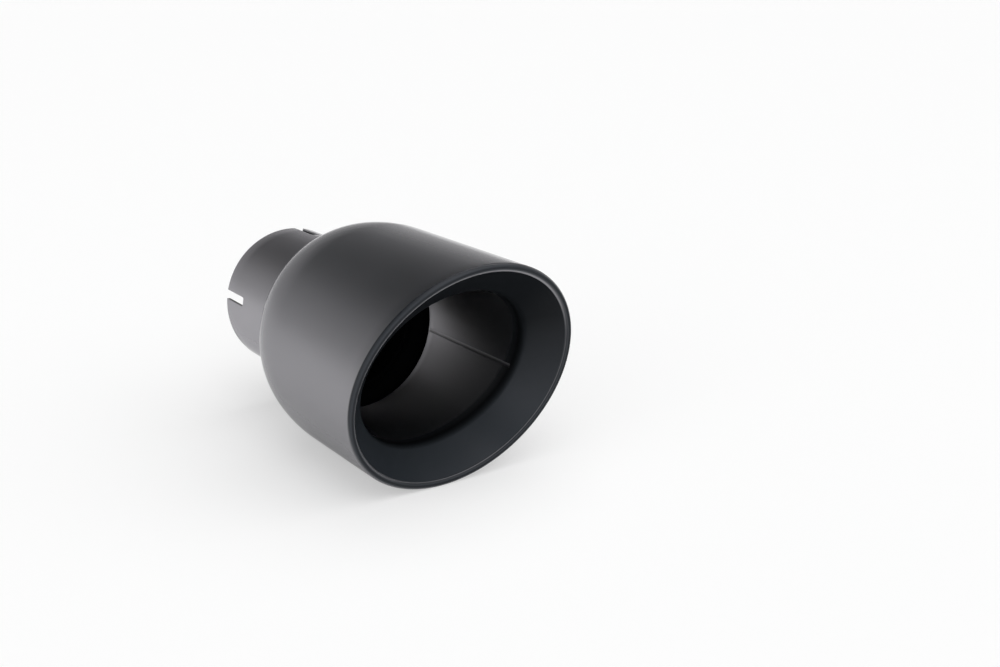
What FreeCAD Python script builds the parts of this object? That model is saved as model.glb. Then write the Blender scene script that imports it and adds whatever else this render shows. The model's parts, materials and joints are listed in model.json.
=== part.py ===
"""Slip-on exhaust tip: a slotted inlet sleeve, a domed shell with a slash-cut rolled lip, and an inner liner.

Frame, in millimetres: the origin is the centre of the sleeve's open end, +X runs along the tip's axis to the
mouth, and +Z is up, towards the long side of the slash cut.

Every skin of the tip is a row of rings around the axis. A ring at angle a has the points
(x + slant * sin(a), r * cos(a), r * sin(a)), so that a ring with a slant leans with the slash cut and still
lies on its own cylinder.
"""
import FreeCAD, Part
import math
import os
from collections import namedtuple

# Driving dimensions, mm
pipe_diameter = 63.5          # tailpipe that the sleeve slides over
body_radius = 50.8            # outside of the body
wall = 1.5                    # sheet thickness of every piece
mouth_centre = 156.2          # from the sleeve's open end to the middle of the mouth, along the axis
slash_angle = math.radians(19.3)

sleeve_edge = 0.5             # rounding of the sleeve's edges
slot_count = 4
slot_width = 4.2
slot_length = 18.0
slot_corner = 1.2             # rounding at the closed end of a slot
first_slot = 80.0             # degrees from +Y towards +Z

neck_start = 53.5             # the shell's collar on the sleeve
neck_length = 1.5
neck_grip = 3.5               # how far the sleeve runs in past the start of the collar
neck_fillet = 4.0             # concave turn from the collar into the dome
dome_length = 31.4            # along the axis

roll_radius = 1.7             # rolled edge of the mouth
bevel_angle = math.radians(36.0)  # slope of the lip against the axis
liner_bore = 36.7             # inside radius of the liner
bend_radius = 7.0             # from the lip into the liner
lip_land = 0.5                # straight end of the lip, where the liner is joined on
liner_gap = 8.2               # from the dome's inner face to the liner's free back end

# Worked-out places
sleeve_bore = pipe_diameter / 2
sleeve_radius = sleeve_bore + wall
slash_rise = body_radius * math.tan(slash_angle)
sleeve_length = neck_start + neck_grip
dome_end = neck_start + neck_length + neck_fillet
dome_start = dome_end + dome_length
dome_foot = sleeve_radius + wall + neck_fillet    # radius where the dome turns into the fillet
roll_x = mouth_centre - roll_radius
roll_r = body_radius - roll_radius
liner_start = dome_end + wall + liner_gap

Ring = namedtuple("Ring", "x r slant", defaults=(0.0,))
Stretch = namedtuple("Stretch", "rings weight", defaults=(1.0,))


def turn_poles():
    """Cosine, sine and weight of the nine poles of one full turn."""
    poles = []
    for step in range(9):
        angle = math.radians(45 * step)
        reach = math.sqrt(2) if step % 2 else 1.0
        poles.append((reach * math.cos(angle), reach * math.sin(angle), 1 / reach))
    return poles


def skin(stretch):
    """One face around the axis, straight between two rings or a conic round the corner ring of three."""
    turn = turn_poles()
    ring_weights = [1.0] * len(stretch.rings)
    if len(stretch.rings) == 3:
        ring_weights[1] = stretch.weight
    poles = []
    weights = []
    for ring, ring_weight in zip(stretch.rings, ring_weights):
        poles.append([FreeCAD.Vector(ring.x + ring.slant * s, ring.r * c, ring.r * s) for c, s, _ in turn])
        weights.append([ring_weight * w for _, _, w in turn])
    order = len(stretch.rings)
    surface = Part.BSplineSurface()
    surface.buildFromPolesMultsKnots(
        poles, [order, order], [3, 2, 2, 2, 3], [0, 1], [0, 1, 2, 3, 4], False, False, order - 1, 2, weights)
    return surface.toShape()


def solid_from(stretches):
    """The closed solid inside a loop of skins."""
    solid = Part.makeSolid(Part.makeShell([skin(stretch) for stretch in stretches]))
    if solid.Volume < 0:
        solid.reverse()
    return solid


def arc(start, corner, end):
    """A circular stretch that leaves start and reaches end along the lines to their common corner."""
    leg = math.hypot(corner.x - start.x, corner.r - start.r)
    chord = math.hypot(end.x - start.x, end.r - start.r)
    return Stretch((start, corner, end), chord / (2 * leg))


def shell_side(depth):
    """The shell's skin at a depth under its outer face, from the collar to the end of the lip."""
    neck_r = sleeve_radius + wall - depth
    collar_end = Ring(neck_start + neck_length, neck_r)
    foot = Ring(dome_end + depth, dome_foot)
    crown = Ring(dome_start, body_radius - depth)
    shoulder = Ring(roll_x, body_radius - depth, slash_rise)

    # Rolled edge, then the straight lip at a tangent to it
    roll = roll_radius - depth
    crest = Ring(roll_x + roll, roll_r, slash_rise)
    roll_turn = math.pi / 2 - bevel_angle
    crest_corner = Ring(crest.x, roll_r - roll * math.tan(roll_turn / 2), slash_rise)
    lip_top = Ring(roll_x + roll * math.sin(bevel_angle), roll_r - roll * math.cos(bevel_angle), slash_rise)

    # Bend from the lip to the liner's bore
    bore = liner_bore + depth
    bend = (bend_radius - depth) * math.tan(bevel_angle / 2)
    bend_corner = Ring(lip_top.x - (lip_top.r - bore) / math.tan(bevel_angle), bore, slash_rise)
    lip_foot = Ring(
        bend_corner.x + bend * math.cos(bevel_angle), bore + bend * math.sin(bevel_angle), slash_rise)
    bend_end = Ring(bend_corner.x - bend, bore, slash_rise)
    return [
        Stretch((Ring(neck_start, neck_r), collar_end)),
        arc(collar_end, Ring(foot.x, neck_r), foot),
        Stretch((foot, Ring(foot.x, crown.r), crown), math.sqrt(0.5)),
        Stretch((crown, shoulder)),
        arc(shoulder, Ring(crest.x, shoulder.r, slash_rise), crest),
        arc(crest, crest_corner, lip_top),
        Stretch((lip_top, lip_foot)),
        arc(lip_foot, bend_corner, bend_end),
        Stretch((bend_end, lip_end(depth))),
    ]


def lip_end(depth):
    """The ring where the lip's land ends and the liner is butted on, at a depth under the visible face."""
    top_x = roll_x + roll_radius * math.sin(bevel_angle)
    top_r = roll_r - roll_radius * math.cos(bevel_angle)
    bend_end = top_x - (top_r - liner_bore) / math.tan(bevel_angle) - bend_radius * math.tan(bevel_angle / 2)
    return Ring(bend_end - lip_land, liner_bore + depth, slash_rise)


def liner_side(depth):
    """The liner's skin at a depth under its inner face, from its free back end to the lip."""
    return [Stretch((Ring(liner_start, liner_bore + depth), lip_end(depth)))]


def sheet(side):
    """A sheet-metal piece between the two faces that a side function gives, closed by its two end faces."""
    face = side(0.0)
    back = side(wall)
    start = Stretch((back[0].rings[0], face[0].rings[0]))
    end = Stretch((face[-1].rings[-1], back[-1].rings[-1]))
    return solid_from(face + back + [start, end])


def sleeve():
    """The inlet tube, with rounded edges and slots that let a band clamp close it on the pipe."""
    along = FreeCAD.Vector(1, 0, 0)
    origin = FreeCAD.Vector(0, 0, 0)
    tube = Part.makeCylinder(sleeve_radius, sleeve_length, origin, along)
    tube = tube.cut(Part.makeCylinder(sleeve_bore, sleeve_length, origin, along))
    outer_edges = [edge for edge in tube.Edges if is_ring(edge, sleeve_radius)]
    tube = tube.makeFillet(sleeve_edge, outer_edges)
    height = sleeve_radius + wall
    slot = Part.makeBox(2 * slot_length, slot_width, height, FreeCAD.Vector(-slot_length, -slot_width / 2, 0))
    corners = [edge for edge in slot.Edges if is_slot_corner(edge)]
    slot = slot.makeFillet(slot_corner, corners)
    for index in range(slot_count):
        cutter = slot.copy()
        turn_from_top = first_slot - 90 + 360 / slot_count * index
        cutter.rotate(origin, along, turn_from_top)
        tube = tube.cut(cutter)
    return tube


def is_ring(edge, radius):
    """Whether an edge is a full circle of a radius."""
    return isinstance(edge.Curve, Part.Circle) and math.isclose(edge.Curve.Radius, radius)


def is_slot_corner(edge):
    """Whether an edge of the slot's block stands along Z at the slot's closed end."""
    ends = [vertex.Point for vertex in edge.Vertexes]
    return all(math.isclose(point.x, slot_length) for point in ends) and math.isclose(ends[0].y, ends[1].y)


pieces = {
    "inlet_sleeve": sleeve(),
    "outer_shell": sheet(shell_side),
    "inner_liner": sheet(liner_side),
}
os.makedirs("parts", exist_ok=True)
for name, shape in pieces.items():
    print(f"{name}: valid {shape.isValid()}, {shape.Volume / 1000:.2f} cm3, {len(shape.Faces)} faces")
    shape.exportStep(f"parts/{name}.step")
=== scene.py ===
"""Satin black slip-on exhaust tip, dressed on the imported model: coated sheet metal, studio and camera.

All lengths are in metres in the part's own frame: the origin is the centre of the sleeve's open end, +X runs
along the axis to the mouth and +Z is up, to the long side of the slash cut.
"""
import json
import logging
import math
from dataclasses import dataclass
from enum import Enum
from typing import Any, Callable, Iterable, NamedTuple, Sequence

import bmesh
import bpy
from bmesh.types import BMesh, BMVert
from bpy.types import Material, Mesh, NodeSocket, NodeTree, Object
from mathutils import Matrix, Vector

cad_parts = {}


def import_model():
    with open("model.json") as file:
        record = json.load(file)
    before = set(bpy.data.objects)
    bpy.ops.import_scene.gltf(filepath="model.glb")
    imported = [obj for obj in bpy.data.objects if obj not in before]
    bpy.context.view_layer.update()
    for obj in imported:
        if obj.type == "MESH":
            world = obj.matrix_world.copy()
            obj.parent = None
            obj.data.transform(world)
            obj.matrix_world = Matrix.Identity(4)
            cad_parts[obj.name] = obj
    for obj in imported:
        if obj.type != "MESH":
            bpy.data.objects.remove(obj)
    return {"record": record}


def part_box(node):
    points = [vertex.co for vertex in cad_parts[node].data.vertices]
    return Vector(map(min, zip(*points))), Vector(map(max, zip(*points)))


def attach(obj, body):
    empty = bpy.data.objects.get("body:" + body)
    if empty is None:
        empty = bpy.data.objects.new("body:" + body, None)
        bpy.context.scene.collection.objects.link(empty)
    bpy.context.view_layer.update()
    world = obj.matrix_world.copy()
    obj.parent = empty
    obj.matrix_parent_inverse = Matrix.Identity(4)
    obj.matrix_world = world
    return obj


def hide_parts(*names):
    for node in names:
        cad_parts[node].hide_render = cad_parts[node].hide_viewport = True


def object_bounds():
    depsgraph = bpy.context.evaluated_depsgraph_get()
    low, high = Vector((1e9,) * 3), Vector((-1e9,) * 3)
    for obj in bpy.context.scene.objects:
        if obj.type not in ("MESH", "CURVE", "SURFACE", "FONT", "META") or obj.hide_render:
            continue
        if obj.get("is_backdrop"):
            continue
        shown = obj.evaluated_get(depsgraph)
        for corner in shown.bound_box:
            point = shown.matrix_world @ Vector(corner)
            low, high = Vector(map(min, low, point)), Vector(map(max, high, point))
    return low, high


LOG = logging.getLogger("exhaust_tip")
MM = 0.001
NEAR = 1e-9                   # places this close are the same
BODY = "root"

# The vertex attribute that paints light and shade on the coat, and the steps of its scale: a painted
# highlight, the plain satin coat, painted shade without sheen, and painted deep shade with nearly no colour
PAINTED_LIGHT = "dull"
PAINTED_HIGHLIGHT = -1.0                  # light edge
SATIN = 0.0                   # full sheen
PAINTED_SHADE = 1.0                    # no sheen
PAINTED_DEEP_SHADE = 2.0                   # no sheen and nearly no colour

# Socket types of node groups
NUMBER = "NodeSocketFloat"
COUNT = "NodeSocketInt"
COLOUR = "NodeSocketColor"
GEOMETRY = "NodeSocketGeometry"
MATERIAL = "NodeSocketMaterial"

Colour = tuple[float, float, float]
Span = tuple[float, float]


class Node(Enum):
    """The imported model's nodes."""

    SLEEVE = "inlet_sleeve"
    SHELL = "outer_shell"
    LINER = "inner_liner"


class Coat(Enum):
    """The record's material slots."""

    SLEEVE = "sleeve_coat"
    SHELL = "shell_coat"
    LINER = "liner_coat"


class Ring(NamedTuple):
    """A ring around the axis, whose point at angle a is (x + slant sin a, r cos a, r sin a).

    Its painted light value runs from a painted highlight over the plain satin coat and painted shade to
    painted deep shade.
    """

    x: float
    r: float
    slant: float = 0.0
    dull: float = SATIN


# Node tree helpers


class Tree:
    """A thin hand on a node tree: adds nodes with their settings and links them."""

    def __init__(self, tree: NodeTree) -> None:
        """Holds the tree that nodes are added to."""
        self.tree = tree

    def add(self, kind: str, settings: dict[str, Any] | None = None, **values: Any) -> bpy.types.Node:
        """Adds one node.

        Args:
            kind: the node's bl_idname.
            settings: properties of the node, such as its operation.
            values: inputs by name with underscores for spaces, each a plain value or another node's output.

        Returns:
            The new node.
        """
        node = self.tree.nodes.new(kind)
        for name, value in (settings or {}).items():
            setattr(node, name, value)
        for name, value in values.items():
            self.feed(node.inputs[name.replace("_", " ")], value)
        return node

    def feed(self, socket: NodeSocket, value: Any) -> None:
        """Links an output to a socket, or sets the socket's plain value."""
        if isinstance(value, NodeSocket):
            self.tree.links.new(value, socket)
        else:
            socket.default_value = value

    def math(self, operation: str, *values: Any) -> NodeSocket:
        """Adds a Math node.

        Args:
            operation: the node's operation.
            values: its operands, each a number or an output.

        Returns:
            The node's output.
        """
        node = self.add("ShaderNodeMath", {"operation": operation})
        for socket, value in zip(node.inputs, values):
            self.feed(socket, value)
        return node.outputs[0]

    def ramp(self, value: NodeSocket, span: Span, to: tuple[Any, Any], smooth: bool = False) -> NodeSocket:
        """Adds a Map Range node.

        Args:
            value: the output that drives it.
            span: where the value starts and ends.
            to: the results there, each a number or an output.
            smooth: whether the result eases in and out.

        Returns:
            The node's output.
        """
        settings = {"interpolation_type": "SMOOTHSTEP" if smooth else "LINEAR"}
        node = self.add(
            "ShaderNodeMapRange", settings, Value=value, From_Min=span[0], From_Max=span[1], To_Min=to[0],
            To_Max=to[1])
        return node.outputs["Result"]

    def vector(self, operation: str, vector: NodeSocket, **values: Any) -> bpy.types.Node:
        """Adds a Vector Math node.

        Args:
            operation: the node's operation.
            vector: its first operand.
            values: other inputs by name.

        Returns:
            The new node.
        """
        node = self.add("ShaderNodeVectorMath", {"operation": operation}, **values)
        self.feed(node.inputs[0], vector)
        return node


def open_sockets(group: NodeTree, side: str, kinds: dict[str, str]) -> None:
    """Adds sockets to one side of a node group, INPUT or OUTPUT, from their types by name."""
    for label, kind in kinds.items():
        group.interface.new_socket(label, in_out=side, socket_type=kind)


class GeometryTree(Tree):
    """A Geometry Nodes tree that takes a geometry, a material and named inputs, and gives a geometry."""

    def __init__(self, name: str, inputs: dict[str, str]) -> None:
        """Starts the tree.

        Args:
            name: the tree's name.
            inputs: socket type by input name.
        """
        super().__init__(bpy.data.node_groups.new(name, "GeometryNodeTree"))
        open_sockets(self.tree, "INPUT", {"Geometry": GEOMETRY, **inputs, "Material": MATERIAL})
        open_sockets(self.tree, "OUTPUT", {"Geometry": GEOMETRY})
        self.given = self.add("NodeGroupInput").outputs
        self.out = self.add("NodeGroupOutput").inputs[0]

    def close(self, geometry: NodeSocket) -> NodeTree:
        """Ends the tree in Realize Instances and Set Material.

        Args:
            geometry: the tree's last geometry.

        Returns:
            The finished node tree.
        """
        real = self.add("GeometryNodeRealizeInstances", Geometry=geometry).outputs[0]
        dressed = self.add("GeometryNodeSetMaterial", Geometry=real, Material=self.given["Material"])
        self.feed(self.out, dressed.outputs[0])
        return self.tree


def grow(name: str, seed: Mesh, group: NodeTree, values: dict[str, Any]) -> Object:
    """Runs a Geometry Nodes tree on a seed mesh and keeps the result as a plain mesh object.

    Args:
        name: the new object's name.
        seed: the mesh that the tree reads.
        group: the tree.
        values: the tree's inputs by name.

    Returns:
        An object at the origin with the finished mesh and no modifier.
    """
    piece = bpy.data.objects.new(name, seed)
    bpy.context.scene.collection.objects.link(piece)
    modifier = piece.modifiers.new(name, "NODES")
    modifier.node_group = group
    for item in group.interface.items_tree:
        if item.in_out == "INPUT" and item.name in values:
            modifier[item.identifier] = values[item.name]
    return settle(piece)


def settle(piece: Object) -> Object:
    """Turns an object's modifiers into its plain mesh.

    Args:
        piece: the object, with modifiers.

    Returns:
        The same object with the evaluated mesh and no modifier.
    """
    piece.update_tag()
    evaluated = piece.evaluated_get(bpy.context.evaluated_depsgraph_get())
    mesh = bpy.data.meshes.new_from_object(evaluated)
    piece.modifiers.clear()
    old = piece.data
    piece.data = mesh
    bpy.data.meshes.remove(old)
    mesh.name = piece.name
    return piece


def face_outwards(mesh: Mesh, sheet: bool = False) -> None:
    """Turns a mesh's faces outwards.

    Args:
        mesh: a closed mesh, or an open sheet round the axis.
        sheet: whether it is such a sheet, whose faces then look away from the axis.
    """
    work = bmesh.new()
    work.from_mesh(mesh)
    bmesh.ops.recalc_face_normals(work, faces=work.faces)
    if sheet and sum(face.normal.yz.dot(face.calc_center_median().yz) for face in work.faces) < 0:
        bmesh.ops.reverse_faces(work, faces=work.faces)
    work.to_mesh(mesh)
    work.free()


def shade(mesh: Mesh, crease: float) -> None:
    """Shades a mesh smooth up to an edge angle in degrees."""
    mesh.shade_smooth()
    mesh.set_sharp_from_angle(angle=math.radians(crease))


def mark_painted_light(mesh: Mesh, values: Sequence[float]) -> None:
    """Gives each vertex of a mesh its painted light value, which paints highlights and shade on the coat."""
    mesh.attributes.new(PAINTED_LIGHT, "FLOAT", "POINT").data.foreach_set("value", values)


def mount(piece: Object, coat: Coat, node: Node | None = None) -> Object:
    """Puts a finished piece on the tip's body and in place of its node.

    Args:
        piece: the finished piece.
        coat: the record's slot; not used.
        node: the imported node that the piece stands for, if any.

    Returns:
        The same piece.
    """
    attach(piece, BODY)
    if node is not None:
        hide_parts(node.value)
    return piece


# Finishes


@dataclass(frozen=True)
class CoatFinish:
    """A satin black coating: near-black colour, a soft sheen, and a fine grain, with highlights and shade
    painted on by a vertex attribute.

    Attributes:
        name: the material's name.
        colour: linear base colour.
        index: index of refraction.
        sheen_colour: share of the colour that shows where the coat has its full sheen; where shade is
            painted, the sheen goes and the full colour shows.
        black: linear colour of the painted deep shade.
        light: linear colour of the painted highlight.
        spread: how far the colour wanders, as a share.
        roughness: middle roughness.
        roughness_spread: how far the roughness wanders.
        tint: linear colour of the sheen.
        specular_face: specular level seen straight on.
        specular_edge: specular level seen at a low angle.
        specular_shaded: specular level seen at a low angle where shade is painted.
        sheen_span: where the sheen begins to rise and where it has risen, as 1 - cosine from straight on.
        outline_start: where the surface begins to look smoother towards the outline, as 1 - cosine.
        outline_roughness: share of the roughness left at the outline.
        grain: size of the coating's grain.
        grain_depth: height of the grain.
    """

    name: str
    colour: Colour
    index: float
    sheen_colour: float = 0.45
    black: Colour = (0.003, 0.0032, 0.0036)
    light: Colour = (0.11, 0.113, 0.122)
    spread: float = 0.12
    roughness: float = 0.36
    roughness_spread: float = 0.03
    tint: Colour = (0.97, 0.95, 1.0)
    specular_face: float = 0.08
    specular_edge: float = 1.0
    specular_shaded: float = 0.005
    sheen_span: Span = (0.25, 0.55)
    outline_start: float = 0.68
    outline_roughness: float = 0.14
    grain: float = 0.7 * MM
    grain_depth: float = 0.004 * MM

    def material(self) -> Material:
        """Builds the material.

        Returns:
            The new material.
        """
        made = bpy.data.materials.new(self.name)
        made.use_nodes = True
        made.diffuse_color = (*self.colour, 1.0)
        tree = Tree(made.node_tree)
        surface = tree.add(
            "ShaderNodeGroup", {"node_tree": coat_surface()}, Colour=(*self.colour, 1.0),
            Colour_Spread=self.spread, Roughness=self.roughness, Roughness_Spread=self.roughness_spread,
            Grain_Size=self.grain).outputs
        bump = tree.add("ShaderNodeBump", Height=surface["Height"], Distance=self.grain_depth, Strength=1.0)
        dull = tree.add("ShaderNodeAttribute", {"attribute_name": PAINTED_LIGHT}).outputs["Fac"]
        facing = tree.add("ShaderNodeLayerWeight", Blend=0.5).outputs["Facing"]
        # How much colour and sheen the painted deep shade leaves
        coated = tree.ramp(dull, (PAINTED_SHADE, PAINTED_DEEP_SHADE), (1.0, 0.0))

        # Smoother towards the outline and with more sheen at low angles, except where painted shade takes the
        # sheen away
        at_outline = tree.ramp(dull, (SATIN, PAINTED_SHADE), (self.outline_roughness, 1.0))
        smoother = tree.ramp(facing, (self.outline_start, 1.0), (1.0, at_outline))
        at_edge = tree.ramp(dull, (SATIN, PAINTED_SHADE), (self.specular_edge, self.specular_shaded))
        sheen = tree.ramp(facing, self.sheen_span, (self.specular_face, at_edge), smooth=True)
        shader = made.node_tree.nodes["Principled BSDF"]
        inputs = {
            "Base Color": self.base_colour(tree, surface["Colour"], dull, coated),
            "Roughness": tree.math("MULTIPLY", surface["Roughness"], smoother),
            "Specular IOR Level": tree.math("MULTIPLY", sheen, coated),
            "IOR": self.index,
            "Specular Tint": (*self.tint, 1.0),
            "Normal": bump.outputs["Normal"],
        }
        for name, value in inputs.items():
            tree.feed(shader.inputs[name], value)
        return made

    def base_colour(self, tree: Tree, colour: NodeSocket, dull: NodeSocket, coated: NodeSocket) -> NodeSocket:
        """Takes the coat's colour to the painted highlight's colour on one side and to the painted deep
        shade's near black on the other.

        Args:
            tree: the material's tree.
            colour: the clouded colour.
            dull: the painted light value.
            coated: share of colour and sheen that the painted deep shade leaves.

        Returns:
            The base colour.
        """
        share = tree.ramp(dull, (SATIN, PAINTED_SHADE), (self.sheen_colour, 1.0))
        coat = tree.vector("SCALE", colour, Scale=share).outputs["Vector"]
        off_edge = tree.ramp(dull, (PAINTED_HIGHLIGHT, SATIN), (0.0, 1.0))
        edged = tree.add("ShaderNodeMixRGB", Fac=off_edge, Color1=(*self.light, 1.0), Color2=coat)
        mixed = tree.add(
            "ShaderNodeMixRGB", Fac=coated, Color1=(*self.black, 1.0), Color2=edged.outputs["Color"])
        return mixed.outputs["Color"]


def coat_surface() -> NodeTree:
    """The shared coating effect: clouded colour and roughness with a fine grain, on Object coordinates.

    Returns:
        The shader node group, built once.
    """
    name = "coat_surface"
    cloud_size = 28 * MM
    if name in bpy.data.node_groups:
        return bpy.data.node_groups[name]
    group = bpy.data.node_groups.new(name, "ShaderNodeTree")
    open_sockets(group, "INPUT", {
        "Colour": COLOUR, "Colour Spread": NUMBER, "Roughness": NUMBER, "Roughness Spread": NUMBER,
        "Grain Size": NUMBER})
    open_sockets(group, "OUTPUT", {"Colour": COLOUR, "Roughness": NUMBER, "Height": NUMBER})
    tree = Tree(group)
    given = tree.add("NodeGroupInput").outputs
    out = tree.add("NodeGroupOutput").inputs
    place = tree.add("ShaderNodeTexCoord").outputs["Object"]

    # Broad clouds where the spray lies thicker or thinner
    cloud = tree.add("ShaderNodeTexNoise", Vector=place, Scale=1 / cloud_size, Detail=3.0, Roughness=0.55)
    wander = tree.math("MULTIPLY", tree.math("SUBTRACT", cloud.outputs["Fac"], 0.5), 2.0)
    share = tree.math("MULTIPLY_ADD", wander, given["Colour Spread"], 1.0)
    tree.feed(out["Colour"], tree.vector("SCALE", given["Colour"], Scale=share).outputs["Vector"])
    roughness = tree.math("MULTIPLY_ADD", wander, given["Roughness Spread"], given["Roughness"])
    tree.feed(out["Roughness"], roughness)

    # Fine grain of the cured coat
    grain_scale = tree.math("DIVIDE", 1.0, given["Grain Size"])
    grain = tree.add("ShaderNodeTexNoise", Vector=place, Scale=grain_scale, Detail=2.0, Roughness=0.5)
    tree.feed(out["Height"], grain.outputs["Fac"])
    return group


@dataclass(frozen=True)
class FloorFinish:
    """Plain pale studio paper, glowing a little so that its shadows stay light.

    Attributes:
        name: the material's name.
        colour: linear base colour.
        roughness: its roughness.
        specular: its specular level.
        glow: share of plain white that the camera sees.
        glow_mirrored: share of plain white that the coat's reflections see.
    """

    name: str = "studio_floor"
    colour: Colour = (0.95, 0.95, 0.95)
    roughness: float = 0.9
    specular: float = 0.1
    glow: float = 0.42
    glow_mirrored: float = 0.1

    def material(self) -> Material:
        """Builds the material.

        Returns:
            The new material.
        """
        made = bpy.data.materials.new(self.name)
        made.use_nodes = True
        nodes = made.node_tree.nodes
        shader = nodes["Principled BSDF"]
        shader.inputs["Base Color"].default_value = (*self.colour, 1.0)
        shader.inputs["Roughness"].default_value = self.roughness
        shader.inputs["Specular IOR Level"].default_value = self.specular
        tree = Tree(made.node_tree)
        path = tree.add("ShaderNodeLightPath").outputs
        mirrored = tree.math("MAXIMUM", path["Is Glossy Ray"], path["Is Transmission Ray"])
        seen = tree.math("MULTIPLY", path["Is Camera Ray"], self.glow)
        share = tree.math("MULTIPLY_ADD", mirrored, self.glow_mirrored, seen)
        white = tree.add("ShaderNodeEmission", Color=(1.0, 1.0, 1.0, 1.0), Strength=1.0)
        mixed = tree.add("ShaderNodeMixShader", Fac=share)
        tree.feed(mixed.inputs[1], shader.outputs[0])
        tree.feed(mixed.inputs[2], white.outputs[0])
        tree.feed(nodes["Material Output"].inputs["Surface"], mixed.outputs[0])
        return made


# The shell's colour is lighter than the liner's and the sleeve's; it shows in full only where shade is
# painted, which paints light on the lip
SHELL_SATIN = CoatFinish("shell_satin", (0.021, 0.0246, 0.0292), index=2.2)
LINER_SATIN = CoatFinish("liner_satin", (0.009, 0.01, 0.0118), index=2.5)
SLEEVE_SATIN = CoatFinish("sleeve_satin", (0.011, 0.012, 0.0138), index=2.6)


# Shared sizes


@dataclass(frozen=True)
class TipSizes:
    """The tip's driving sizes. All but the slash angle are read from the frame.

    Attributes:
        sheet: thickness of every piece.
        sleeve_radius: outside of the sleeve.
        sleeve_length: from its open end to its end inside the shell.
        body_radius: outside of the shell's body.
        neck_start: where the shell's collar begins.
        liner_bore: inside radius of the liner.
        liner_start: where the liner's free back end lies.
        mouth_top: the furthest point of the mouth's edge.
        slash_angle: lean of the mouth.
    """

    sheet: float
    sleeve_radius: float
    sleeve_length: float
    body_radius: float
    neck_start: float
    liner_bore: float
    liner_start: float
    mouth_top: float
    slash_angle: float = math.radians(19.3)

    @classmethod
    def from_frame(cls, record: dict[str, Any]) -> "TipSizes":
        """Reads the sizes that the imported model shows.

        Args:
            record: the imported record.

        Returns:
            The tip's sizes.
        """
        _, sleeve_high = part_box(Node.SLEEVE.value)
        shell_low, shell_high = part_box(Node.SHELL.value)
        liner_low, liner_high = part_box(Node.LINER.value)
        sheet = sleeve_high.y - record["mounts"][0]["dims"]["r_mm"] * MM
        return cls(
            sheet=sheet, sleeve_radius=sleeve_high.y, sleeve_length=sleeve_high.x,
            body_radius=shell_high.y, neck_start=shell_low.x, liner_bore=liner_high.y - sheet,
            liner_start=liner_low.x, mouth_top=shell_high.x)

    @property
    def slash_rise(self) -> float:
        """How far the mouth's top stands ahead of its middle."""
        return self.body_radius * math.tan(self.slash_angle)

    @property
    def mouth_centre(self) -> float:
        """Where the middle of the mouth's edge lies along the axis."""
        return self.mouth_top - self.slash_rise


# Turned sheet-metal pieces


def straight(start: Ring, end: Ring, steps: int) -> list[Ring]:
    """Rings along a straight stretch, without the last one.

    Args:
        start: first ring.
        end: last ring.
        steps: number of rings to give.

    Returns:
        The rings from start up to, but not with, end.
    """
    shares = [step / steps for step in range(steps)]
    return [Ring(*(a + (b - a) * share for a, b in zip(start, end))) for share in shares]


def bend(start: Ring, corner: Ring, end: Ring, steps: int, weight: float | None = None) -> list[Ring]:
    """Rings along a conic bend round a corner, without the last one.

    Args:
        start: first ring.
        corner: where the tangents at both ends meet.
        end: last ring.
        steps: number of rings to give.
        weight: the corner's weight; without one the bend is a circle.

    Returns:
        The rings from start up to, but not with, end.
    """
    if weight is None:
        leg = math.hypot(corner.x - start.x, corner.r - start.r)
        weight = math.hypot(end.x - start.x, end.r - start.r) / (2 * leg)
    rings = []
    for step in range(steps):
        t = step / steps
        shares = ((1 - t) ** 2, 2 * weight * t * (1 - t), t ** 2)
        total = sum(shares)
        columns = zip(start, corner, end)
        rings.append(Ring(*(sum(s * v for s, v in zip(shares, column)) / total for column in columns)))
    return rings


def in_deep_shade(rings: Sequence[Ring]) -> list[Ring]:
    """The same rings with painted deep shade, for the faces on the far side of the sheet."""
    return [ring._replace(dull=PAINTED_DEEP_SHADE) for ring in rings]


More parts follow.
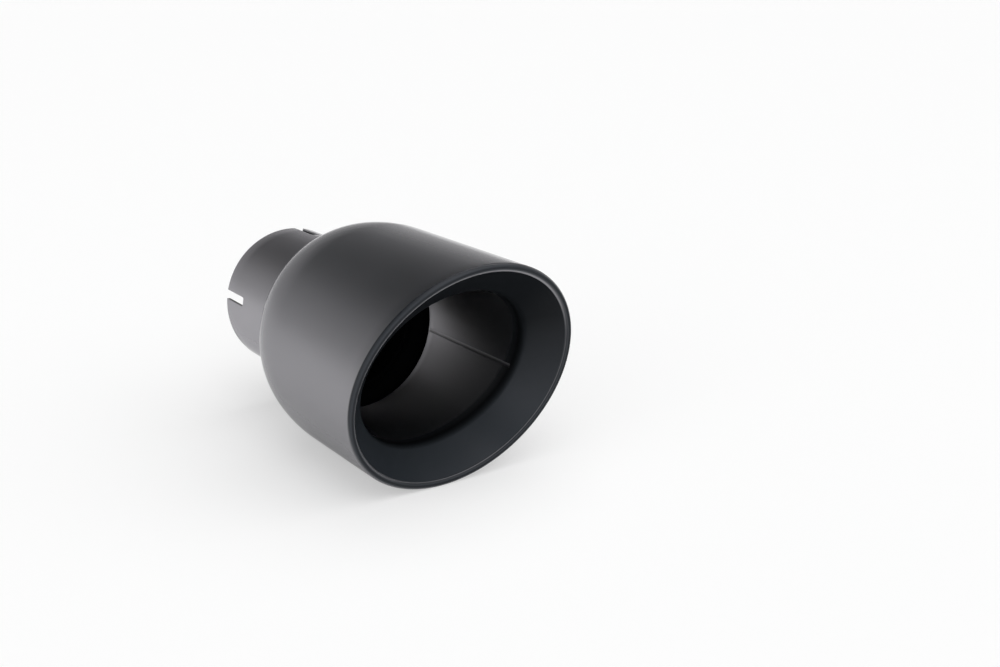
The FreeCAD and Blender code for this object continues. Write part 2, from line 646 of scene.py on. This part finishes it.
def turned_tree() -> NodeTree:
    """The tree that turns a closed row of rings into a skin around the axis.

    The seed mesh holds one vertex for each ring, with the ring's x, r and slant as its place and the light
    and shade painted on it as an attribute.

    Returns:
        The Geometry Nodes tree, built once.
    """
    name = "turned_sheet"
    weld = 0.001 * MM
    if name in bpy.data.node_groups:
        return bpy.data.node_groups[name]
    tree = GeometryTree(name, {"Rings": COUNT, "Turn Steps": COUNT})
    given = tree.given
    rings, steps = given["Rings"], given["Turn Steps"]
    position = tree.add("GeometryNodeInputPosition").outputs[0]

    # A unit grid with one column for each ring, closed both ways in the end
    grid = tree.add(
        "GeometryNodeMeshGrid", Size_X=1.0, Size_Y=1.0, Vertices_X=tree.math("ADD", rings, 1.0),
        Vertices_Y=tree.math("ADD", steps, 1.0))
    mapped = tree.add(
        "GeometryNodeStoreNamedAttribute", {"data_type": "FLOAT2", "domain": "CORNER"},
        Geometry=grid.outputs["Mesh"], Name="UVMap", Value=grid.outputs["UV Map"])
    spot = tree.add("ShaderNodeSeparateXYZ", Vector=position).outputs
    along = tree.math("MULTIPLY", tree.math("ADD", spot["X"], 0.5), rings)
    index = tree.math("MODULO", tree.math("ROUND", along), rings)
    turn = tree.math("MULTIPLY", tree.math("ADD", spot["Y"], 0.5), math.tau)

    # Each vertex takes the painted light value and the place of its ring
    stored = tree.add("GeometryNodeInputNamedAttribute", {"data_type": "FLOAT"}, Name=PAINTED_LIGHT)
    dull = tree.add(
        "GeometryNodeSampleIndex", {"data_type": "FLOAT", "domain": "POINT"}, Geometry=given["Geometry"],
        Value=stored.outputs["Attribute"], Index=index)
    marked = tree.add(
        "GeometryNodeStoreNamedAttribute", {"data_type": "FLOAT", "domain": "POINT"},
        Geometry=mapped.outputs[0], Name=PAINTED_LIGHT, Value=dull.outputs[0])
    sampled = tree.add(
        "GeometryNodeSampleIndex", {"data_type": "FLOAT_VECTOR", "domain": "POINT"},
        Geometry=given["Geometry"], Value=position, Index=index)
    ring = tree.add("ShaderNodeSeparateXYZ", Vector=sampled.outputs[0]).outputs
    sine, cosine = tree.math("SINE", turn), tree.math("COSINE", turn)
    place = tree.add(
        "ShaderNodeCombineXYZ", X=tree.math("MULTIPLY_ADD", ring["Z"], sine, ring["X"]),
        Y=tree.math("MULTIPLY", ring["Y"], cosine), Z=tree.math("MULTIPLY", ring["Y"], sine))
    moved = tree.add("GeometryNodeSetPosition", Geometry=marked.outputs[0], Position=place.outputs[0])
    closed = tree.add("GeometryNodeMergeByDistance", Geometry=moved.outputs[0], Distance=weld)
    return tree.close(closed.outputs[0])


def turned(name: str, rings: Sequence[Ring], steps: int, material: Material) -> Object:
    """Makes a closed sheet-metal piece from its row of rings.

    Args:
        name: the piece's name.
        rings: the section, as a closed row of rings.
        steps: faces around the axis.
        material: the piece's finish.

    Returns:
        The new object.
    """
    seed = bpy.data.meshes.new(name)
    seed.from_pydata([(ring.x, ring.r, ring.slant) for ring in rings], [], [])
    mark_painted_light(seed, [ring.dull for ring in rings])
    values = {"Rings": len(rings), "Turn Steps": steps, "Material": material}
    piece = grow(name, seed, turned_tree(), values)
    face_outwards(piece.data)
    shade(piece.data, crease=50)
    return piece


@dataclass
class OuterShell:
    """Spun dome with its neck, round body, rolled slash-cut edge and the bevelled lip inside the mouth.

    Attributes:
        sizes: the tip's sizes.
        finish: the shell's coat.
        neck_length: straight collar on the sleeve.
        neck_fillet: concave turn from the collar into the dome.
        dome_length: along the axis.
        roll_radius: rolled edge of the mouth.
        bevel_angle: slope of the lip against the axis.
        bend_radius: from the lip into the liner.
        lip_land: straight end of the lip, where the liner begins.
        roll_shade: painted shade on the way to the crest of the rolled edge.
        crest_shade: painted shade at the crest.
        edge_highlight: how light the painted highlight line is where the lip begins, at half height.
        edge_highlight_fall: share of that painted highlight that is lost at the top of the mouth and gained
            at the bottom.
        edge_fade: how far the line takes to fade into the lip.
        bend_deep_shade: how deep the painted shade is in the bend into the liner.
        lip_deep_shade: how deep the painted shade is on the lip at the top of the mouth.
        lip_shade_start: height at which the painted shade on the lip begins, as a share of the radius.
        turn_steps: faces around the axis.
    """

    sizes: TipSizes
    finish: CoatFinish
    neck_length: float = 1.5 * MM
    neck_fillet: float = 4.0 * MM
    dome_length: float = 31.4 * MM
    roll_radius: float = 1.7 * MM
    bevel_angle: float = math.radians(36.0)
    bend_radius: float = 7.0 * MM
    lip_land: float = 0.5 * MM
    roll_shade: float = 0.15
    crest_shade: float = 1.6
    edge_highlight: float = 0.7
    edge_highlight_fall: float = 0.43
    edge_fade: float = 0.6 * MM
    bend_deep_shade: float = 0.9
    lip_deep_shade: float = 0.75
    lip_shade_start: float = -0.5
    turn_steps: int = 288

    def side(self, depth: float) -> list[Ring]:
        """The skin at a depth under the outer face, from the collar to the end of the lip.

        Args:
            depth: distance under the outer face.

        Returns:
            The rings in order.
        """
        size, rise = self.sizes, self.sizes.slash_rise
        neck_r = size.sleeve_radius + size.sheet - depth
        collar_end = Ring(size.neck_start + self.neck_length, neck_r)
        dome_end = collar_end.x + self.neck_fillet
        foot = Ring(dome_end + depth, size.sleeve_radius + size.sheet + self.neck_fillet)
        crown = Ring(dome_end + self.dome_length, size.body_radius - depth)

        # Rolled edge, then the straight lip at a tangent to it; the rings paint shade on the roll and its
        # crest, a highlight line where the lip begins and shade on the lip
        roll_x, roll_r = size.mouth_centre - self.roll_radius, size.body_radius - self.roll_radius
        roll = self.roll_radius - depth
        shoulder = Ring(roll_x, size.body_radius - depth, rise)
        shoulder_corner = Ring(roll_x + roll, shoulder.r, rise, self.roll_shade)
        crest = Ring(roll_x + roll, roll_r, rise, self.crest_shade)
        half_turn = (math.pi / 2 - self.bevel_angle) / 2
        crest_corner = Ring(crest.x, roll_r - roll * math.tan(half_turn), rise, PAINTED_SHADE)
        slope_sin, slope_cos = math.sin(self.bevel_angle), math.cos(self.bevel_angle)
        lip_top = Ring(roll_x + roll * slope_sin, roll_r - roll * slope_cos, rise, PAINTED_HIGHLIGHT * self.edge_highlight)
        fade_x, fade_r = self.edge_fade * slope_cos, self.edge_fade * slope_sin
        lip_edge = Ring(lip_top.x - fade_x, lip_top.r - fade_r, rise, PAINTED_SHADE)

        # Bend from the lip to the liner's bore, with painted deep shade in the bend
        bore = size.liner_bore + depth
        reach = (self.bend_radius - depth) * math.tan(self.bevel_angle / 2)
        bend_shade = PAINTED_SHADE + self.bend_deep_shade
        corner = Ring(lip_top.x - (lip_top.r - bore) * slope_cos / slope_sin, bore, rise, bend_shade)
        lip_foot = Ring(corner.x + reach * slope_cos, bore + reach * slope_sin, rise, PAINTED_SHADE)
        bend_end = Ring(corner.x - reach, bore, rise, bend_shade)
        return [
            *straight(Ring(size.neck_start, neck_r), collar_end, steps=2),
            *bend(collar_end, Ring(foot.x, neck_r), foot, steps=10),
            *bend(foot, Ring(foot.x, crown.r), crown, steps=30, weight=math.sqrt(0.5)),
            *straight(crown, shoulder, steps=12),
            *bend(shoulder, shoulder_corner, crest, steps=12),
            *bend(crest, crest_corner, lip_top, steps=8),
            *straight(lip_top, lip_edge, steps=3),
            *straight(lip_edge, lip_foot, steps=8),
            *bend(lip_foot, corner, bend_end, steps=12),
            *straight(bend_end, self.lip_end(depth), steps=2),
            self.lip_end(depth),
        ]

    def lip_end(self, depth: float) -> Ring:
        """The ring where the lip ends and the liner begins.

        Args:
            depth: distance under the visible face.

        Returns:
            The ring.
        """
        size = self.sizes
        top_x = size.mouth_centre - self.roll_radius * (1 - math.sin(self.bevel_angle))
        top_r = size.body_radius - self.roll_radius * (1 + math.cos(self.bevel_angle))
        bend_end = top_x - (top_r - size.liner_bore) / math.tan(self.bevel_angle)
        bend_end -= self.bend_radius * math.tan(self.bevel_angle / 2)
        # The ring carries the bend's painted deep shade
        return Ring(
            bend_end - self.lip_land, size.liner_bore + depth, size.slash_rise, PAINTED_SHADE + self.bend_deep_shade)

    def build(self) -> list[Object]:
        """Builds the shell's mesh in place of its plain solid.

        Returns:
            The shell's pieces.
        """
        # The sheet's far faces get painted deep shade
        rings = self.side(0.0) + in_deep_shade(self.side(self.sizes.sheet)[::-1])
        shell = turned("shell_skin", rings, self.turn_steps, self.finish.material())
        self.shade_mouth(shell.data)
        return [mount(shell, Coat.SHELL, Node.SHELL)]

    def shade_mouth(self, mesh: Mesh) -> None:
        """Paints deeper shade on the lip towards the top of the mouth, and makes the painted highlight on its
        edge lighter towards the bottom.

        Args:
            mesh: the shell's mesh.
        """
        nearly_shaded = 0.99
        lip_radius = self.sizes.body_radius - 2 * self.roll_radius
        for vertex, mark in zip(mesh.vertices, mesh.attributes[PAINTED_LIGHT].data):
            radius = vertex.co.yz.length
            height = vertex.co.z / radius
            # Painted shade on the lip grows with height; the painted highlight weakens upwards
            if mark.value > nearly_shaded and radius < lip_radius:
                share = min(max(height - self.lip_shade_start, 0.0), 1.0)
                mark.value = max(mark.value, PAINTED_SHADE + self.lip_deep_shade * share)
            elif mark.value < SATIN:
                mark.value *= 1 - self.edge_highlight_fall * height


@dataclass
class InnerLiner:
    """Straight gas tube behind the lip, with a free back end and the weld seam it was rolled up with.

    Attributes:
        sizes: the tip's sizes.
        shell: the shell that the liner is joined to.
        finish: the liner's coat.
        edge: rounding of the free back end.
        edge_highlight: how light the painted highlight on that end is.
        lip_shade: painted shade where the fade to the lip begins.
        lip_fade: length of the fade into the lip's painted shade.
        seam_angle: where the weld seam runs, from +Y towards +Z.
        seam_width: across the weld bead.
        seam_height: half its full height.
        seam_sink: how far its middle lies in the wall.
        seam_pitch: length of one ripple.
        seam_shade: painted shade on the bead's lower half.
        seam_highlight: how light the painted highlight on its upper half is.
        turn_steps: faces around the axis.
    """

    sizes: TipSizes
    shell: OuterShell
    finish: CoatFinish
    edge: float = 0.7 * MM
    edge_highlight: float = 1.0
    lip_shade: float = 0.6
    lip_fade: float = 6.0 * MM
    seam_angle: float = math.radians(-9.7)
    seam_width: float = 2.7 * MM
    seam_height: float = 0.4 * MM
    seam_sink: float = 0.28 * MM
    seam_pitch: float = 1.1 * MM
    seam_shade: float = 0.45
    seam_highlight: float = 0.18
    turn_steps: int = 240

    def side(self, depth: float) -> list[Ring]:
        """The skin at a depth under the inner face, from the free back end to the lip.

        Args:
            depth: distance under the inner face.

        Returns:
            The rings in order.
        """
        back = self.sizes.liner_start
        radius = self.sizes.liner_bore + depth
        edge = self.edge if depth == 0.0 else -self.edge
        # A painted highlight on the free back end, and painted shade growing towards the lip
        light = PAINTED_HIGHLIGHT * self.edge_highlight
        start = Ring(back + self.edge, radius)
        lip = self.shell.lip_end(depth)
        near_lip = lip._replace(x=lip.x - self.lip_fade, dull=self.lip_shade)
        return [
            *bend(Ring(back, radius + edge, dull=light), Ring(back, radius, dull=light), start, steps=4),
            *straight(start, near_lip, steps=14),
            *straight(near_lip, lip, steps=6),
            lip,
        ]

    def build(self) -> list[Object]:
        """Builds the liner's tube and its weld seam.

        Returns:
            The liner's pieces.
        """
        material = self.finish.material()
        # The sheet's far face gets painted deep shade
        rings = self.side(0.0) + in_deep_shade(self.side(self.sizes.sheet)[::-1])
        tube = turned("liner_tube", rings, self.turn_steps, material)
        return [mount(tube, Coat.LINER, Node.LINER), mount(self.seam(material), Coat.LINER)]

    def seam(self, material: Material) -> Object:
        """Builds the low weld bead that runs along the tube's inside, with painted shade on its lower half
        and a painted highlight on its upper half.

        Args:
            material: the liner's finish.

        Returns:
            The bead.
        """
        lip = self.shell.lip_end(0.0)
        start = self.sizes.liner_start + 2 * self.edge
        end = lip.x + lip.slant * math.sin(self.seam_angle)
        seed = bpy.data.meshes.new("liner_seam")
        seed.from_pydata([(start, 0.0, 0.0), (end, 0.0, 0.0)], [(0, 1)], [])
        values = {
            "Radius": self.sizes.liner_bore + self.seam_sink, "Angle": self.seam_angle,
            "Width": self.seam_width, "Height": self.seam_height, "Pitch": self.seam_pitch,
            "Material": material}
        bead = grow("liner_seam", seed, bead_tree(), values)
        face_outwards(bead.data)
        shade(bead.data, crease=60)
        # Painted shade below the bead's middle, painted highlight above
        angles = [math.atan2(vertex.co.z, vertex.co.y) for vertex in bead.data.vertices]
        upper = PAINTED_HIGHLIGHT * self.seam_highlight
        mark_painted_light(bead.data, [self.seam_shade if angle < self.seam_angle else upper for angle in angles])
        return bead


def bead_tree() -> NodeTree:
    """The tree that lays a rippled weld bead along a path on the inside of a tube.

    The seed mesh is the path on the axis. The bead is swept, pushed out to the wall and turned to its angle.

    Returns:
        The Geometry Nodes tree.
    """
    steps_per_ripple = 6.0
    section_steps = 16
    ripple_depth, ripple_foot = 0.2, 0.88
    sizes = ("Radius", "Angle", "Width", "Height", "Pitch")
    tree = GeometryTree("weld_bead", dict.fromkeys(sizes, NUMBER))
    given = tree.given
    path = tree.add("GeometryNodeMeshToCurve", Mesh=given["Geometry"])
    fine = tree.add(
        "GeometryNodeResampleCurve", {"mode": "LENGTH"}, Curve=path.outputs[0],
        Length=tree.math("DIVIDE", given["Pitch"], steps_per_ripple))
    run = tree.add("GeometryNodeSplineParameter").outputs["Length"]
    phase = tree.math("DIVIDE", run, given["Pitch"])
    ripple = tree.math("ABSOLUTE", tree.math("SINE", tree.math("MULTIPLY", phase, math.pi)))
    swell = tree.math("MULTIPLY_ADD", ripple, ripple_depth, ripple_foot)
    waved = tree.add("GeometryNodeSetCurveRadius", Curve=fine.outputs[0], Radius=swell)
    upright = tree.add("GeometryNodeSetCurveNormal", {"mode": "Z_UP"}, Curve=waved.outputs[0])
    circle = tree.add("GeometryNodeCurvePrimitiveCircle", Resolution=section_steps, Radius=1.0)
    half_width = tree.math("DIVIDE", given["Width"], 2.0)
    section = tree.add("ShaderNodeCombineXYZ", X=half_width, Y=given["Height"], Z=1.0)
    shaped = tree.add("GeometryNodeTransform", Geometry=circle.outputs[0], Scale=section.outputs[0])
    bead = tree.add(
        "GeometryNodeCurveToMesh", Curve=upright.outputs[0], Profile_Curve=shaped.outputs[0], Fill_Caps=True)
    lift = tree.add("ShaderNodeCombineXYZ", Z=given["Radius"]).outputs[0]
    turn = tree.add("ShaderNodeCombineXYZ", X=tree.math("SUBTRACT", given["Angle"], math.pi / 2)).outputs[0]
    at_wall = tree.add("GeometryNodeTransform", Geometry=bead.outputs[0], Translation=lift)
    placed = tree.add("GeometryNodeTransform", Geometry=at_wall.outputs[0], Rotation=turn)
    return tree.close(placed.outputs[0])


# Slotted sleeve


@dataclass
class InletSleeve:
    """Tube that slides over the tailpipe, with slots cut in from its open end.

    Attributes:
        sizes: the tip's sizes.
        finish: the sleeve's coat.
        slot_count: slots around the axis.
        slot_width: across a slot.
        slot_length: from the open end to the closed end of a slot.
        slot_corner: rounding at the closed end of a slot.
        first_slot: where the first slot lies, from +Y towards +Z.
        edge: rounding of the edges.
        edge_steps: faces across a rounded edge.
        edge_angle: the angle in degrees past which an edge is rounded.
        crease: the angle in degrees past which an edge is sharp.
        corner_steps: faces round the corner of a slot.
        turn_steps: faces from a slot to half way to the next.
        rest_steps: faces along the tube behind the slots.
    """

    sizes: TipSizes
    finish: CoatFinish
    slot_count: int = 4
    slot_width: float = 4.2 * MM
    slot_length: float = 18.0 * MM
    slot_corner: float = 1.2 * MM
    first_slot: float = math.radians(80.0)
    edge: float = 0.35 * MM
    edge_steps: int = 3
    edge_angle: float = 60.0
    crease: float = 50.0
    corner_steps: int = 6
    turn_steps: int = 44
    rest_steps: int = 8

    def sector(self) -> Mesh:
        """One slot's share of the tube's outer face, as a thin sheet with the slot at angle zero.

        Returns:
            The sheet's mesh.
        """
        size = self.sizes
        half_slot = self.slot_width / 2
        land = math.pi * size.sleeve_radius / self.slot_count - half_slot
        inset = half_slot - self.slot_corner
        slot_rise = self.slot_length - self.slot_corner
        rest = size.sleeve_length - self.slot_length
        plain = [half_slot + land * step / self.turn_steps for step in range(self.turn_steps + 1)]
        across = sorted({-arc for arc in plain} | {-inset, inset} | set(plain))
        behind = [self.slot_length + rest * step / self.rest_steps for step in range(self.rest_steps + 1)]
        lengthways = [0.0, slot_rise / 2, slot_rise, *behind]

        work = bmesh.new()
        spots: dict[tuple[int, int], BMVert] = {}

        def spot(arc: float, x: float) -> BMVert:
            """The sheet's vertex at a place, made once."""
            key = (round(arc / NEAR), round(x / NEAR))
            if key not in spots:
                angle = arc / size.sleeve_radius
                spots[key] = work.verts.new(
                    (x, size.sleeve_radius * math.cos(angle), size.sleeve_radius * math.sin(angle)))
            return spots[key]

        for low, high in zip(across, across[1:]):
            for near, far in zip(lengthways, lengthways[1:]):
                in_slot = max(abs(low), abs(high)) <= half_slot + NEAR and far <= self.slot_length + NEAR
                if not in_slot:
                    work.faces.new((spot(low, near), spot(high, near), spot(high, far), spot(low, far)))
        for side in (-1, 1):
            self.fill_corner(work, spot, side, inset, slot_rise)
        mesh = bpy.data.meshes.new("sleeve_tube")
        work.to_mesh(mesh)
        work.free()
        return mesh

    def fill_corner(self, work: BMesh, spot: Callable[[float, float], BMVert], side: int, inset: float,
                    slot_rise: float) -> None:
        """Fills a corner of the slot's closed end up to its rounding.

        Args:
            work: the sheet being built.
            spot: gives the sheet's vertex at a place.
            side: which side of the slot, -1 or 1.
            inset: across, where the rounding begins.
            slot_rise: lengthways, where the rounding begins.
        """
        tip = spot(side * self.slot_width / 2, self.slot_length)
        curve = []
        for step in range(self.corner_steps + 1):
            angle = math.pi / 2 * step / self.corner_steps
            across = side * (inset + self.slot_corner * math.cos(angle))
            curve.append(spot(across, slot_rise + self.slot_corner * math.sin(angle)))
        for first, second in zip(curve, curve[1:]):
            corner = (tip, first, second) if side < 0 else (tip, second, first)
            work.faces.new(corner)

    def build(self) -> list[Object]:
        """Repeats the sector round the axis and gives the sheet its wall and rounded edges.

        Returns:
            The sleeve's pieces.
        """
        values = {"Count": self.slot_count, "First": self.first_slot, "Material": self.finish.material()}
        tube = grow("sleeve_tube", self.sector(), repeat_tree(), values)
        face_outwards(tube.data, sheet=True)
        self.thicken(tube)
        shade(tube.data, self.crease)
        # Painted deep shade inside the tube and where it runs in the shell
        self.paint_inner_shade(tube.data)
        return [mount(tube, Coat.SLEEVE, Node.SLEEVE)]

    def thicken(self, tube: Object) -> None:
        """Gives the thin sheet its wall, inwards, and rounds the edges.

        Args:
            tube: the sheet.
        """
        wall = tube.modifiers.new("wall", "SOLIDIFY")
        wall.thickness = self.sizes.sheet
        wall.offset = -1.0
        wall.use_even_offset = True
        edge = tube.modifiers.new("edge", "BEVEL")
        edge.width = self.edge
        edge.segments = self.edge_steps
        edge.limit_method = "ANGLE"
        edge.angle_limit = math.radians(self.edge_angle)
        settle(tube)

    def paint_inner_shade(self, mesh: Mesh) -> None:
        """Paints deep shade on the tube's inside and where it runs in the shell.

        Args:
            mesh: the tube.
        """
        middle = self.sizes.sleeve_radius - self.sizes.sheet / 2
        inside_from = self.sizes.neck_start + self.sizes.sheet
        marks = []
        for vertex in mesh.vertices:
            in_shade = vertex.co.yz.length < middle or vertex.co.x > inside_from
            marks.append(PAINTED_DEEP_SHADE if in_shade else SATIN)
        mark_painted_light(mesh, marks)


def repeat_tree() -> NodeTree:
    """The tree that repeats one sector round the X axis and joins the copies.

    Returns:
        The Geometry Nodes tree.
    """
    weld = 0.005 * MM
    tree = GeometryTree("repeat_round_axis", {"Count": COUNT, "First": NUMBER})
    given = tree.given
    copies = tree.add("GeometryNodeMeshLine", Count=given["Count"])
    for axis in ("Start Location", "Offset"):
        copies.inputs[axis].default_value = (0.0, 0.0, 0.0)
    pitch = tree.math("DIVIDE", math.tau, given["Count"])
    index = tree.add("GeometryNodeInputIndex").outputs[0]
    turn = tree.add("ShaderNodeCombineXYZ", X=tree.math("MULTIPLY_ADD", index, pitch, given["First"]))
    placed = tree.add(
        "GeometryNodeInstanceOnPoints", Points=copies.outputs[0], Instance=given["Geometry"],
        Rotation=turn.outputs[0])
    real = tree.add("GeometryNodeRealizeInstances", Geometry=placed.outputs[0])
    joined = tree.add("GeometryNodeMergeByDistance", Geometry=real.outputs[0], Distance=weld)
    return tree.close(joined.outputs[0])


# Studio


def direction(azimuth: float, elevation: float) -> Vector:
    """Unit vector at an azimuth from +X and an elevation."""
    flat = math.cos(elevation)
    return Vector((flat * math.cos(azimuth), flat * math.sin(azimuth), math.sin(elevation)))


@dataclass
class Studio:
    """Pale floor, a wide soft lamp, dim surroundings with a panel overhead, and the camera.

    Attributes:
        floor_level: height of the floor.
        floor_reach: half its side.
        softbox_strength: strength of the lamp.
        softbox_spread: how wide the lamp looks, as an angle.
        softbox_place: azimuth and elevation of the lamp.
        panel_light: brightness of the panel overhead.
        panel_place: azimuth and elevation of the panel's middle.
        panel_rim: angles from the panel's middle at which it begins and has its full light.
        wall_light: brightness of the walls at the horizon and at their top.
        wall_fade: heights between which the walls end, as the sine of the elevation.
        lens: focal length in millimetres.
        sensor: width of the sensor in millimetres.
        clip: nearest and furthest distance that the camera sees.
        aim: the point that the camera looks at.
        place: azimuth and elevation of the camera, seen from there.
        distance: how far the camera stands from it.
    """

    floor_level: float
    floor_reach: float = 40.0
    softbox_strength: float = 1.85
    softbox_spread: float = math.radians(70.0)
    softbox_place: Span = (math.radians(-45.0), math.radians(34.0))
    panel_light: float = 1.5
    panel_place: Span = (math.radians(25.0), math.radians(63.0))
    panel_rim: Span = (math.radians(50.0), math.radians(34.0))
    wall_light: Span = (0.66, 0.34)
    wall_fade: Span = (0.37, 0.5)
    lens: float = 45.67
    sensor: float = 36.0
    clip: Span = (0.01, 100.0)
    aim: tuple[float, float, float] = (171.73 * MM, 5.75 * MM, 22.74 * MM)
    place: Span = (math.radians(-34.42), math.radians(16.96))
    distance: float = 480.0 * MM

    def build(self) -> None:
        """Builds the whole studio."""
        scene = bpy.context.scene
        scene.view_settings.view_transform = "Standard"
        self.floor()
        self.softbox()
        self.surroundings()
        scene.camera = self.camera()

    def floor(self) -> None:
        """Lays the pale floor under the tip."""
        mesh = bpy.data.meshes.new("studio_floor")
        signs = ((-1, -1), (1, -1), (1, 1), (-1, 1))
        corners = [(x * self.floor_reach, y * self.floor_reach, self.floor_level) for x, y in signs]
        mesh.from_pydata(corners, [], [(0, 1, 2, 3)])
        mesh.materials.append(FloorFinish().material())
        floor = bpy.data.objects.new("studio_floor", mesh)
        bpy.context.scene.collection.objects.link(floor)
        floor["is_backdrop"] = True

    def softbox(self) -> None:
        """Sets up the wide soft lamp on the camera's side. The sheen shows the surroundings only."""
        lamp = bpy.data.lights.new("softbox", "SUN")
        lamp.energy = self.softbox_strength
        lamp.angle = self.softbox_spread
        holder = bpy.data.objects.new("softbox", lamp)
        way = direction(*self.softbox_place)
        holder.rotation_euler = way.to_track_quat("Z", "Y").to_euler()
        holder.visible_glossy = False
        bpy.context.scene.collection.objects.link(holder)

    def surroundings(self) -> None:
        """Sets the surroundings: walls that darken upwards and a panel overhead, white to the camera."""
        world = bpy.data.worlds.new("studio")
        world.use_nodes = True
        tree = Tree(world.node_tree)
        way = tree.add("ShaderNodeTexCoord").outputs["Generated"]
        height = tree.add("ShaderNodeSeparateXYZ", Vector=way).outputs["Z"]
        wall = tree.ramp(height, (0.0, self.wall_fade[1]), self.wall_light)
        fade = tree.ramp(height, self.wall_fade, (1.0, 0.0), smooth=True)
        toward = tree.vector("DOT_PRODUCT", way)
        tree.feed(toward.inputs[1], direction(*self.panel_place))
        rim, full = (math.cos(angle) for angle in self.panel_rim)
        panel = tree.ramp(toward.outputs["Value"], (rim, full), (0.0, self.panel_light), smooth=True)
        light = tree.math("MULTIPLY_ADD", wall, fade, panel)
        seen = tree.math("MAXIMUM", light, tree.add("ShaderNodeLightPath").outputs["Is Camera Ray"])
        tree.feed(world.node_tree.nodes["Background"].inputs["Color"], seen)
        bpy.context.scene.world = world

    def camera(self) -> Object:
        """Places the camera at the photograph's viewing angle.

        Returns:
            The camera.
        """
        data = bpy.data.cameras.new("camera")
        data.lens = self.lens
        data.sensor_width = self.sensor
        data.clip_start, data.clip_end = self.clip
        camera = bpy.data.objects.new("camera", data)
        back = direction(*self.place)
        camera.location = Vector(self.aim) + back * self.distance
        camera.rotation_euler = (-back).to_track_quat("-Z", "Y").to_euler()
        bpy.context.scene.collection.objects.link(camera)
        return camera


def main() -> None:
    """Builds the tip's pieces in order, then the studio."""
    logging.basicConfig(level=logging.INFO, format="%(name)s: %(message)s")
    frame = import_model()
    cad_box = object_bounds()
    sizes = TipSizes.from_frame(frame["record"])
    shell = OuterShell(sizes, SHELL_SATIN)
    liner = InnerLiner(sizes, shell, LINER_SATIN)
    sleeve = InletSleeve(sizes, SLEEVE_SATIN)
    for assembly in (sleeve, shell, liner):
        for piece in assembly.build():
            LOG.info("%s: %d faces", piece.name, len(piece.data.polygons))
    Studio(floor_level=cad_box[0].z).build()


if __name__ == "__main__":
    main()
